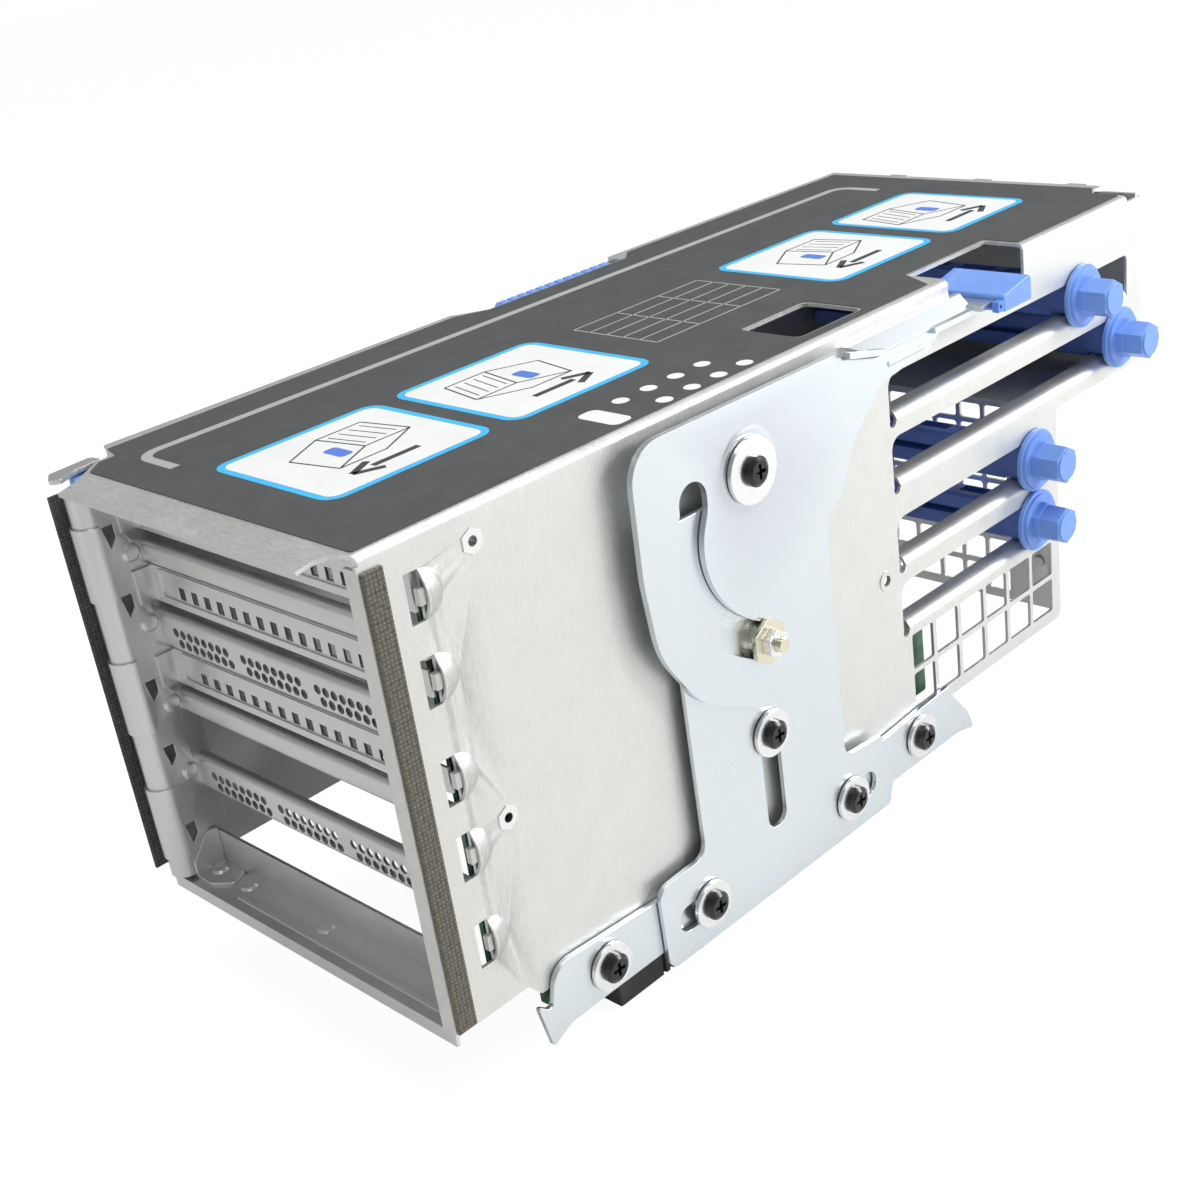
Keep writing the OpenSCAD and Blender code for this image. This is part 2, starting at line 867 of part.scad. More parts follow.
module lever() {
    dome_r = 9.5;
    fold_y = 159;
    color("LightSteelBlue")
    datum() {
        difference() {
            union() {
                side_slab(lever_x, lever_t)
                    lever_outline();
                translate([lever_face, drive_y, pivot_z])
                    rotate([0, 90, 0])
                        cylinder(r1 = dome_r + 2, r2 = dome_r, h = 0.6);
                // Strip folded in beside the side's top edge
                translate([cage_w, fold_y, 0])
                    rotate([-90, 0, 0])
                        linear_extrude(214 - fold_y)
                            polygon([
                                [5.6, -118.2], [5.9, -119.6], [2, -123.4], [gap, -123.4],
                                [gap, -122.4], [1.2, -121.8], [4.2, -118.6]
                            ]);
                box(cage_w + 3.6, 194, 118.2, 3.8, 22, 1.6);
                // Paddle inside the grip
                box(112.4, 212.6, 119.2, 21.2, 18.4, 1.5);
                // Lip bent out over the slit
                translate([lever_face - 0.2, 0, 0])
                    side_slab(0, 2.6)
                        polygon([
                            [154.9, 123.1], [168.6, 119.9], [171.4, 119.9], [170.6, 121.1],
                            [155.2, 124.7]
                        ]);
                // Stiffening bead of the arm
                translate([lever_face - 0.5, 174, 115.6])
                    rotate([-90, 0, 0])
                        cylinder(r = 1, h = 16);
            }
            // Slit that frees the strip from the plate
            side_slab(cage_w, lever_face + 1 - cage_w)
                polygon([
                    [153.9, 126], [154.8, 122.8], [169.5, 118.7], [171.5, 118.7],
                    [160.5, 124], [fold_y, 126]
                ]);
            side_slab(lever_x - 1, lever_t + 3)
                cam_slot_2d();
            x_rod(lever_x - 1, drive_y, pivot_z, pivot_d / 2 + 0.05, lever_t + 3);
        }
    }
}

module lever_grip() {
    front = 219.4;
    length = 14.1;
    left = 111.2;
    width = 25.3;
    color("RoyalBlue")
    datum()
        difference() {
            translate([left, front, 0])
                rotate([90, 0, 90])
                    linear_extrude(width)
                        polygon(rounded([
                            [0, 117.4, 0.8], [length, 117.4, 0.8], [length, 124.9, 1.2],
                            [0, 122.2, 0.8]
                        ], 4));
            box(112.4, front - 1, 119.2, 21.2, 12.6, 1.5);
            for (i = [0:4])
                translate([left + 2, front + 1.6 + i * 2.4, 122.75 + i * 0.46])
                    box(0, 0, 0, width - 4, 1.1, 2);
        }
}

module grip_clip() {
    color("RoyalBlue")
    datum()
        translate([134.4, 216.6, 118])
            difference() {
                box(0, 0, 0, 2, 2.8, 3);
                box(-1, 0.8, 1, 4, 1, 1);
            }
}

module slide_plate() {
    low = -17.2;
    plate_top = cage_h - lift - 0.9;
    fork_r = 6.3;
    foot_w = 7.5;
    color("LightSteelBlue")
    datum()
        difference() {
            side_slab(plate_x, plate_t)
                polygon(rounded([
                    [84.6, plate_top, 2], [85.4, 8.9, 4], [66.8, 8.2, 4], [67.2, low, 3.6],
                    [164, low, 1.5], [166, -11, 1], [162.4, 7, 2], [145.2, 8.4, 4],
                    [145.8, 98, 2], [128, 98, 2], [124, plate_top, 2]
                ]));
            // Fork round the lever pivot
            side_slab(plate_x - 1, plate_t + 2)
                slot_2d([drive_y, pivot_z - lift - gap], [drive_y, 110], 2 * fork_r);
            // Guide slot
            side_slab(plate_x - 1, plate_t + 2)
                slot_2d([drive_y, guide_z - lift - gap], [drive_y, guide_z + gap], 7.6);
            // Foot slots that draw the hook studs
            side_slab(plate_x - 1, plate_t + 2)
                slot_2d([hook_stud_ys[0] - 8.3, hook_stud_z], [hook_stud_ys[0], hook_stud_z],
                    foot_w);
            side_slab(plate_x - 1, plate_t + 2)
                slot_2d([hook_stud_ys[1], hook_stud_z], [hook_stud_ys[1] + 8.3, hook_stud_z],
                    foot_w);
            x_rod(plate_x - 1, drive_y, stud_z, 3.4, plate_t + 2);
        }
}

module cam_stud() {
    color("Khaki")
    datum() {
        x_rod(plate_x, drive_y, stud_z, 3.4, plate_t);
        x_rod(plate_x + plate_t, drive_y, stud_z, roller_d / 2, lever_t + 2 * gap);
        x_hex(lever_face + gap, drive_y, stud_z, 11.4, 1.6);
        x_rod(lever_face + gap + 1.6, drive_y, stud_z, 2, 4.6);
    }
}

module cam_nut() {
    base = lever_face + gap + 1.6;
    color("Gainsboro")
    datum()
        difference() {
            x_hex(base, drive_y, stud_z, 7, 2.8);
            x_rod(base - 1, drive_y, stud_z, 2, 6);
        }
}

// One hook: its plate without the stud
module hook_plate(outline, pivot_y, stud_y) {
    color("LightSteelBlue")
    datum()
        difference() {
            side_slab(hook_x, hook_t)
                polygon(rounded(outline));
            x_rod(hook_x - 1, pivot_y, hook_z, 3.05, hook_t + 2);
            x_rod(hook_x - 1, stud_y, hook_stud_z, 2.2, hook_t + 2);
        }
}

module front_hook() {
    hook_plate([
        [23.6, -1.2, 0.6], [28, -4.8, 1.2], [31, 6.4, 6], [68, 4, 0], [92, 1.6, 4],
        [92, -12, 6], [33.5, -12, 5], [26.4, -15, 0.6]
    ], hook_ys[0], hook_stud_ys[0]);
}

module rear_hook() {
    hook_plate([
        [139, -12.4, 6], [139, 1.8, 4], [165, 3.3, 0], [188, 4.9, 3], [199.4, 5.4, 1.5],
        [200.6, 1.4, 1], [208.2, -8, 1], [211, -14.6, 0.8], [203, -12.6, 3]
    ], hook_ys[1], hook_stud_ys[1]);
}

// Stud fixed in a hook and riding in the slide plate
module hook_stud(y) {
    color("WhiteSmoke")
    datum()
        difference() {
            union() {
                x_rod(hook_x, y, hook_stud_z, 2.2, hook_t);
                x_rod(hook_x + hook_t, y, hook_stud_z, 3, plate_t + 2 * gap);
                x_rod(plate_x + plate_t + gap, y, hook_stud_z, bush_d / 2, 1.3);
            }
            x_rod(hook_x - 1, y, hook_stud_z, 1.5, 9);
        }
}

module front_stud() {
    hook_stud(hook_stud_ys[0]);
}

module rear_stud() {
    hook_stud(hook_stud_ys[1]);
}

module hook_screw(y) {
    color("#202124")
    datum()
        pan_screw(plate_x + plate_t + gap + 1.3, y, hook_stud_z, 5);
}

module front_screw() {
    hook_screw(hook_stud_ys[0]);
}

module rear_screw() {
    hook_screw(hook_stud_ys[1]);
}

// Crossbar of one card holder, with its groove for the cards' rear edge
module holder_bar(i) {
    y = holder_ys[i];
    z = holder_zs[i];
    right = 116;
    color("MidnightBlue")
    datum() {
        difference() {
            side_slab(4, right - 4)
                polygon(rounded([
                    [y - bar_d / 2, z - bar_h / 2, 1], [y + bar_d / 2, z - bar_h / 2, 1],
                    [y + bar_d / 2, z + bar_h / 2, 2.5], [y - bar_d / 2, z + bar_h / 2, 1]
                ], 4));
            box(3, y - bar_d / 2 - 1, z - 1.2, 100, 5, 2.4);
            for (k = [0:5])
                box(12 + k * 17, y - 1.5, z + 2.6, 13, 4, 8);
        }
        // Neck through the slot
        side_slab(right - 0.5, cage_w + 0.9 - right)
            polygon(rounded([
                [y - 5.6, holder_slots[i][0] + 0.5, 2], [y + 5.6, holder_slots[i][0] + 0.5, 2],
                [y + 5.6, holder_slots[i][1] - 0.6, 2], [y - 5.6, holder_slots[i][1] - 0.6, 2]
            ], 4));
    }
}

module holder_bar_1() {
    holder_bar(0);
}

module holder_bar_2() {
    holder_bar(1);
}

module holder_bar_3() {
    holder_bar(2);
}

module holder_bar_4() {
    holder_bar(3);
}

// Knob outside the cage: a stepped flange with a tapering hexagon
module holder_knob(i) {
    x = cage_w + 0.4;
    color("CornflowerBlue")
    datum() {
        x_rod(x, holder_ys[i], holder_zs[i], knob_d / 2, 1.4);
        x_rod(x + 1.4, holder_ys[i], holder_zs[i], knob_d / 2 - 1.1, 1);
        x_hex(x + 2, holder_ys[i], holder_zs[i], knob_hex + 0.8, 2.6);
        x_hex(x + 4.4, holder_ys[i], holder_zs[i], knob_hex, knob_l - 5);
        translate([x + knob_l - 0.6, holder_ys[i], holder_zs[i]])
            rotate([0, 90, 0])
                cylinder(d = knob_hex - 1, h = 0.6);
    }
}

module holder_knob_1() {
    holder_knob(0);
}

module holder_knob_2() {
    holder_knob(1);
}

module holder_knob_3() {
    holder_knob(2);
}

module holder_knob_4() {
    holder_knob(3);
}

cage_shell();
left_panel();
rear_wall();
slot_bracket();
divider_1();
divider_2();
divider_3();
divider_4();
cross_member();
corner_gusset();
floor_rivets();
slot_cover_1();
slot_cover_2();
slot_cover_3();
gasket_right();
gasket_left();
top_label();
side_key();
side_tab();
corner_latch();
corner_key();
clinch_nuts();
lever_bush();
guide_bush();
hook_bushes();
fixed_screws();
riser_board();
board_posts();
card_sockets();
dock_plug();
lever();
lever_grip();
grip_clip();
slide_plate();
cam_stud();
cam_nut();
front_hook();
front_stud();
front_screw();
rear_hook();
rear_stud();
rear_screw();
holder_bar_1();
holder_bar_2();
holder_bar_3();
holder_bar_4();
holder_knob_1();
holder_knob_2();
holder_knob_3();
holder_knob_4();
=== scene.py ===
import json
import math
import bpy
import bmesh
from mathutils import Matrix, Vector


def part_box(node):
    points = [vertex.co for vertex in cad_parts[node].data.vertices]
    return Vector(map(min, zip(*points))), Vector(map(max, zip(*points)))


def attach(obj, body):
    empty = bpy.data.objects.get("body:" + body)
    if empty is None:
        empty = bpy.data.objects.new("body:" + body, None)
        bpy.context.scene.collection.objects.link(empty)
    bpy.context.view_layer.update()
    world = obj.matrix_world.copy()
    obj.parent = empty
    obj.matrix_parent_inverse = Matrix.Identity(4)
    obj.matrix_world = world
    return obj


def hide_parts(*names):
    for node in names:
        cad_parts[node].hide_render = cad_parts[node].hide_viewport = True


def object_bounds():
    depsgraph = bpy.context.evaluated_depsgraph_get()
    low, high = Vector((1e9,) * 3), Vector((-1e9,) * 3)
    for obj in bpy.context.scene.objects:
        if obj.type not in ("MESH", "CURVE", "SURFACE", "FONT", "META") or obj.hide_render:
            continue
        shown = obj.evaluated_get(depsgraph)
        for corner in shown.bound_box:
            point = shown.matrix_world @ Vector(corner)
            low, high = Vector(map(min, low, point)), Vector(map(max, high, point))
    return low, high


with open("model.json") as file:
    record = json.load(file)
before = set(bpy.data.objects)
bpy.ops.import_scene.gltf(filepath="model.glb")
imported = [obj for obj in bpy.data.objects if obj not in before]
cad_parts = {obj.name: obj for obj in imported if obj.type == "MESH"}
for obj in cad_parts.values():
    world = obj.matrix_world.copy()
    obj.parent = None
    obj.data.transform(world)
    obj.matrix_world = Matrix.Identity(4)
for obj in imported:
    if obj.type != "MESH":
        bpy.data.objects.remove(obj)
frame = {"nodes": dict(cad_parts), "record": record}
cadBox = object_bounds()
nodes = frame["nodes"]
slotOf = {part["node"]: part["material_slot"] for part in frame["record"]["subparts"]}
bodyOf = {name: body for body, names in frame["record"]["behaviour"]["bodies"].items()
          for name in names}
print("frame loaded:", len(nodes), "nodes")

mm = 0.001


def addObject(name, data):
    made = bpy.data.objects.new(name, data)
    bpy.context.scene.collection.objects.link(made)
    return made


def meshFrom(bm, name):
    mesh = bpy.data.meshes.new(name)
    bm.to_mesh(mesh)
    bm.free()
    return mesh


# ---- view, floor and light

viewSettings = {
    "place": (0.282336, -0.250852, 0.282364),
    "right": (0.71704, 0.68529, -0.12740),
    "down": (0.21435, -0.39071, -0.89521),
    "ahead": (-0.66325, 0.61460, -0.42705),
    "lens": 51.39,
    "sensor": 36.0,
    "shift": (-0.0259, 0.0196),
    "farClip": 20.0,
}

lightSettings = {
    # name: (place, size, power, colour)
    "topSoft": ((0.10, 0.05, 0.95), 0.7, 6.0, (1.0, 0.995, 0.985)),
    "leverSide": ((0.80, 0.95, 0.50), 0.35, 8.5, (1.0, 1.0, 1.0)),
    "slotSide": ((-0.25, -1.00, 0.25), 0.6, 1.0, (0.99, 0.995, 1.0)),
    "rearFill": ((0.40, 0.95, 0.45), 0.7, 1.6, (1.0, 1.0, 1.0)),
}
lightAim = (-0.03, 0.08, 0.08)


def setCamera(s):
    camera = bpy.data.cameras.new("camera")
    camera.lens = s["lens"]
    camera.sensor_width = s["sensor"]
    camera.shift_x, camera.shift_y = s["shift"]
    camera.clip_end = s["farClip"]
    holder = addObject("camera", camera)
    axes = (Vector(s["right"]), -Vector(s["down"]), -Vector(s["ahead"]))
    turn = Matrix(axes).transposed()
    holder.matrix_world = Matrix.Translation(Vector(s["place"])) @ turn.to_4x4()
    bpy.context.scene.camera = holder


def addLight(name, place, size, power, colour):
    lamp = bpy.data.lights.new(name, "AREA")
    lamp.shape = "DISK"
    lamp.size = size
    lamp.energy = power
    lamp.color = colour
    holder = addObject(name, lamp)
    aim = Vector(lightAim) - Vector(place)
    holder.rotation_euler = aim.to_track_quat("-Z", "Y").to_euler()
    holder.location = place


setCamera(viewSettings)
for lightName, values in lightSettings.items():
    addLight(lightName, *values)

worldSettings = {"light": (0.93, 0.94, 0.95), "lightStrength": 0.34, "seen": (1.0, 1.0, 1.0)}


def setWorld(s):
    # the camera sees plain white, and a dimmer sky lights the part
    world = bpy.data.worlds.new("studio")
    bpy.context.scene.world = world
    world.use_nodes = True
    t = world.node_tree
    t.nodes.clear()
    path = t.nodes.new("ShaderNodeLightPath")
    seen = t.nodes.new("ShaderNodeBackground")
    seen.inputs["Color"].default_value = (*s["seen"], 1)
    lit = t.nodes.new("ShaderNodeBackground")
    lit.inputs["Color"].default_value = (*s["light"], 1)
    lit.inputs["Strength"].default_value = s["lightStrength"]
    pick = t.nodes.new("ShaderNodeMixShader")
    out = t.nodes.new("ShaderNodeOutputWorld")
    t.links.new(path.outputs["Is Camera Ray"], pick.inputs[0])
    t.links.new(lit.outputs[0], pick.inputs[1])
    t.links.new(seen.outputs[0], pick.inputs[2])
    t.links.new(pick.outputs[0], out.inputs["Surface"])


setWorld(worldSettings)
bpy.context.scene.view_settings.view_transform = "Standard"

floorSettings = {
    "colour": (0.85, 0.85, 0.84),
    "whiteShare": 0.80,  # of what the camera sees, so the shadow stays
    "white": 1.17,
    "drop": 0.0006,
    "halfWidth": 4.0,
}


def addFloor(s):
    bm = bmesh.new()
    bmesh.ops.create_grid(bm, x_segments=1, y_segments=1, size=s["halfWidth"])
    bmesh.ops.translate(bm, verts=bm.verts, vec=(0, 0, cadBox[0][2] - s["drop"]))
    mesh = meshFrom(bm, "floor")
    floor = addObject("floor", mesh)
    mat = bpy.data.materials.new("pale floor")
    mat.use_nodes = True
    t = mat.node_tree
    t.nodes.clear()
    out = t.nodes.new("ShaderNodeOutputMaterial")
    paint = t.nodes.new("ShaderNodeBsdfDiffuse")
    paint.inputs["Color"].default_value = (*s["colour"], 1)
    white = t.nodes.new("ShaderNodeEmission")
    white.inputs["Color"].default_value = (1, 1, 1, 1)
    white.inputs["Strength"].default_value = s["white"]
    both = t.nodes.new("ShaderNodeMixShader")
    share = t.nodes.new("ShaderNodeMath")
    share.operation = "MULTIPLY"
    share.inputs[1].default_value = s["whiteShare"]
    path = t.nodes.new("ShaderNodeLightPath")
    t.links.new(path.outputs["Is Camera Ray"], share.inputs[0])
    t.links.new(share.outputs[0], both.inputs[0])
    t.links.new(paint.outputs[0], both.inputs[1])
    t.links.new(white.outputs[0], both.inputs[2])
    t.links.new(both.outputs[0], out.inputs["Surface"])
    mesh.materials.append(mat)


addFloor(floorSettings)
print("view, lights and floor set")


# ---- shader groups shared by the finishes

groupOutputs = [("Color", "NodeSocketColor"), ("Roughness", "NodeSocketFloat"),
                ("Height", "NodeSocketFloat")]


def newGroup(name, ins):
    group = bpy.data.node_groups.new(name, "ShaderNodeTree")
    for label, kind, value in ins:
        socket = group.interface.new_socket(label, in_out="INPUT", socket_type=kind)
        socket.default_value = value
    for label, kind in groupOutputs:
        group.interface.new_socket(label, in_out="OUTPUT", socket_type=kind)
    given = group.nodes.new("NodeGroupInput").outputs
    result = group.nodes.new("NodeGroupOutput").inputs
    return group, given, result


def addMath(t, operation, first, second=None, clamp=False):
    n = t.nodes.new("ShaderNodeMath")
    n.operation = operation
    n.use_clamp = clamp
    for i, value in enumerate((first, second)):
        if value is None:
            continue
        if isinstance(value, (int, float)):
            n.inputs[i].default_value = value
        else:
            t.links.new(value, n.inputs[i])
    return n.outputs[0]


def addMix(t, factor, first, second):
    n = t.nodes.new("ShaderNodeMix")
    n.data_type = "RGBA"
    if isinstance(factor, (int, float)):
        n.inputs[0].default_value = factor
    else:
        t.links.new(factor, n.inputs[0])
    for i, value in ((6, first), (7, second)):
        if isinstance(value, tuple):
            n.inputs[i].default_value = value
        else:
            t.links.new(value, n.inputs[i])
    return n.outputs[2]


def addNoise(t, vector, scale, detail, roughness=0.5):
    n = t.nodes.new("ShaderNodeTexNoise")
    n.inputs["Detail"].default_value = detail
    n.inputs["Roughness"].default_value = roughness
    if isinstance(scale, (int, float)):
        n.inputs["Scale"].default_value = scale
    else:
        t.links.new(scale, n.inputs["Scale"])
    t.links.new(vector, n.inputs["Vector"])
    return n.outputs["Fac"]


def stretchRange(t, value, low, high, toLow=0.0, toHigh=1.0):
    n = t.nodes.new("ShaderNodeMapRange")
    n.inputs["From Min"].default_value = low
    n.inputs["From Max"].default_value = high
    n.inputs["To Min"].default_value = toLow
    n.inputs["To Max"].default_value = toHigh
    t.links.new(value, n.inputs["Value"])
    return n.outputs[0]


def objectPlace(t):
    return t.nodes.new("ShaderNodeTexCoord").outputs["Object"]


# reads the painted-highlight weight that softEdged puts on the bevelled rims
def edgeHighlight(t):
    worn = t.nodes.new("ShaderNodeAttribute")
    worn.attribute_name = "edgeHighlight"
    return worn.outputs["Fac"]


def spreadRough(t, pattern, base, spread):
    swing = addMath(t, "MULTIPLY", addMath(t, "SUBTRACT", pattern, 0.5), spread)
    return addMath(t, "ADD", base, swing, clamp=True)


sheetPattern = {
    "streakDetail": 5.0,
    "streakRough": 0.65,
    "streakRange": (0.32, 0.68),
    "cloudDetail": 3.0,
    "cloudRange": (0.3, 0.7),
}


def makeSheetGroup(s):
    # rolled sheet: streaks along its grain, soft clouds, and a painted highlight on the
    # bevelled cut edges
    t, given, result = newGroup("rolledSheet", [
        ("Light", "NodeSocketColor", (0.6, 0.6, 0.6, 1)),
        ("Dark", "NodeSocketColor", (0.5, 0.5, 0.5, 1)),
        ("Edge Highlight", "NodeSocketColor", (0.8, 0.8, 0.8, 1)),
        ("Grain", "NodeSocketVector", (1, 1, 1)),
        ("Cloud Scale", "NodeSocketFloat", 60.0),
        ("Streak Share", "NodeSocketFloat", 0.5),
        ("Rough", "NodeSocketFloat", 0.4),
        ("Rough Spread", "NodeSocketFloat", 0.1),
    ])
    place = objectPlace(t)
    along = t.nodes.new("ShaderNodeVectorMath")
    along.operation = "MULTIPLY"
    t.links.new(place, along.inputs[0])
    t.links.new(given["Grain"], along.inputs[1])
    fine = addNoise(t, along.outputs[0], 1.0, s["streakDetail"], s["streakRough"])
    streak = stretchRange(t, fine, *s["streakRange"])
    soft = addNoise(t, place, given["Cloud Scale"], s["cloudDetail"])
    cloud = stretchRange(t, soft, *s["cloudRange"])
    streakPart = addMath(t, "MULTIPLY", streak, given["Streak Share"])
    cloudShare = addMath(t, "SUBTRACT", 1.0, given["Streak Share"])
    cloudPart = addMath(t, "MULTIPLY", cloud, cloudShare)
    blend = addMath(t, "ADD", streakPart, cloudPart, clamp=True)
    tone = addMix(t, blend, given["Dark"], given["Light"])
    # the bevelled rims take the Edge Highlight colour, a painted highlight
    t.links.new(addMix(t, edgeHighlight(t), tone, given["Edge Highlight"]), result["Color"])
    rough = spreadRough(t, blend, given["Rough"], given["Rough Spread"])
    t.links.new(rough, result["Roughness"])
    t.links.new(streak, result["Height"])
    return t


mouldPattern = {
    "cloudScale": 140.0,
    "cloudDetail": 2.0,
    "cloudRange": (0.3, 0.7),
    "grainDetail": 2.0,
    "edgeHighlightShare": 0.5,
    "roughSpread": 0.12,
}


def makeMouldGroup(s):
    # moulded plastic: faint flow clouds, a fine spark-eroded grain and a painted highlight on
    # the bevelled rims
    t, given, result = newGroup("mouldedPlastic", [
        ("Light", "NodeSocketColor", (0.1, 0.2, 0.8, 1)),
        ("Dark", "NodeSocketColor", (0.1, 0.2, 0.7, 1)),
        ("Edge Highlight", "NodeSocketColor", (0.3, 0.4, 0.9, 1)),
        ("Grain Scale", "NodeSocketFloat", 2500.0),
        ("Rough", "NodeSocketFloat", 0.3),
    ])
    place = objectPlace(t)
    soft = addNoise(t, place, s["cloudScale"], s["cloudDetail"])
    cloud = stretchRange(t, soft, *s["cloudRange"])
    grain = addNoise(t, place, given["Grain Scale"], s["grainDetail"])
    tone = addMix(t, cloud, given["Dark"], given["Light"])
    # the bevelled rims take half of the Edge Highlight colour, a painted highlight
    share = addMath(t, "MULTIPLY", edgeHighlight(t), s["edgeHighlightShare"])
    t.links.new(addMix(t, share, tone, given["Edge Highlight"]), result["Color"])
    t.links.new(spreadRough(t, grain, given["Rough"], s["roughSpread"]), result["Roughness"])
    t.links.new(grain, result["Height"])
    return t


weavePattern = {
    "unevenScale": 900.0,
    "unevenDetail": 3.0,
    "unevenRange": (0.3, 0.7),
    "threadShare": 0.6,
    "unevenShare": 0.4,
    "roughRange": (0.75, 0.5),
}


def makeWeaveGroup(s):
    # conductive cloth: two crossing threads with uneven tone
    t, given, result = newGroup("conductiveWeave", [
        ("Light", "NodeSocketColor", (0.3, 0.28, 0.25, 1)),
        ("Dark", "NodeSocketColor", (0.1, 0.1, 0.09, 1)),
        ("Thread", "NodeSocketFloat", 0.0006),
    ])
    place = objectPlace(t)
    split = t.nodes.new("ShaderNodeSeparateXYZ")
    t.links.new(place, split.inputs[0])
    waves = []
    for axis in ("Y", "Z"):
        turns = addMath(t, "DIVIDE", split.outputs[axis], given["Thread"])
        wave = addMath(t, "SINE", addMath(t, "MULTIPLY", turns, 2 * math.pi))
        waves.append(addMath(t, "ADD", addMath(t, "MULTIPLY", wave, 0.5), 0.5))
    crossed = addMath(t, "MULTIPLY", waves[0], waves[1])
    noise = addNoise(t, place, s["unevenScale"], s["unevenDetail"])
    uneven = stretchRange(t, noise, *s["unevenRange"])
    threadPart = addMath(t, "MULTIPLY", crossed, s["threadShare"])
    unevenPart = addMath(t, "MULTIPLY", uneven, s["unevenShare"])
    mixed = addMath(t, "ADD", threadPart, unevenPart, clamp=True)
    t.links.new(addMix(t, mixed, given["Dark"], given["Light"]), result["Color"])
    rough = stretchRange(t, mixed, 0.0, 1.0, *s["roughRange"])
    t.links.new(rough, result["Roughness"])
    t.links.new(mixed, result["Height"])
    return t


groups = {
    "sheet": makeSheetGroup(sheetPattern),
    "mould": makeMouldGroup(mouldPattern),
    "weave": makeWeaveGroup(weavePattern),
}

reliefDepth = 0.0001
weaveDepth = 0.0002


def makeFinish(name, groupName, inputs, fixed, bump=0.0, depth=reliefDepth):
    mat = bpy.data.materials.new(name)
    mat.use_nodes = True
    t = mat.node_tree
    shader = t.nodes["Principled BSDF"]
    for label, value in fixed.items():
        shader.inputs[label].default_value = value
    pattern = t.nodes.new("ShaderNodeGroup")
    pattern.node_tree = groups[groupName]
    for label, value in inputs.items():
        pattern.inputs[label].default_value = value
    t.links.new(pattern.outputs["Color"], shader.inputs["Base Color"])
    t.links.new(pattern.outputs["Roughness"], shader.inputs["Roughness"])
    if bump:
        relief = t.nodes.new("ShaderNodeBump")
        relief.inputs["Strength"].default_value = bump
        relief.inputs["Distance"].default_value = depth
        t.links.new(pattern.outputs["Height"], relief.inputs["Height"])
        t.links.new(relief.outputs["Normal"], shader.inputs["Normal"])
    return mat


def shade(r, g, b):
    return (r, g, b, 1.0)
